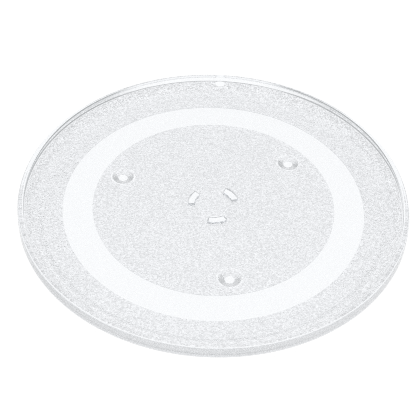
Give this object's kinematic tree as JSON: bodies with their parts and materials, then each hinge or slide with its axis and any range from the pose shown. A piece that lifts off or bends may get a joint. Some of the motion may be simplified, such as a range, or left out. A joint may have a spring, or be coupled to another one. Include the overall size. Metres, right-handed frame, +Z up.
{
  "type": "microwave turntable plate",
  "caption": "Round pressed-glass plate with a raised lip, a stippled underside with a smooth roller track, and feet and coupler lugs below; it carries food and turns in a microwave oven.",
  "frame": {"origin": "on the plate's axis, in the plane of the feet's ends, which is the surface it stands on", "axes": "+Z up along the plate's axis, out of the well; -Y through one foot and one coupler lug; +X to the right"},
  "size_m": [0.315, 0.315, 0.0176],
  "materials": {
    "clear_glass": "clear pressed glass, stippled underside with a smooth roller track, fire-polished lip"
  },
  "bodies": {
    "root": {"turntable_plate": "clear_glass"}
  },
  "joints": []
}
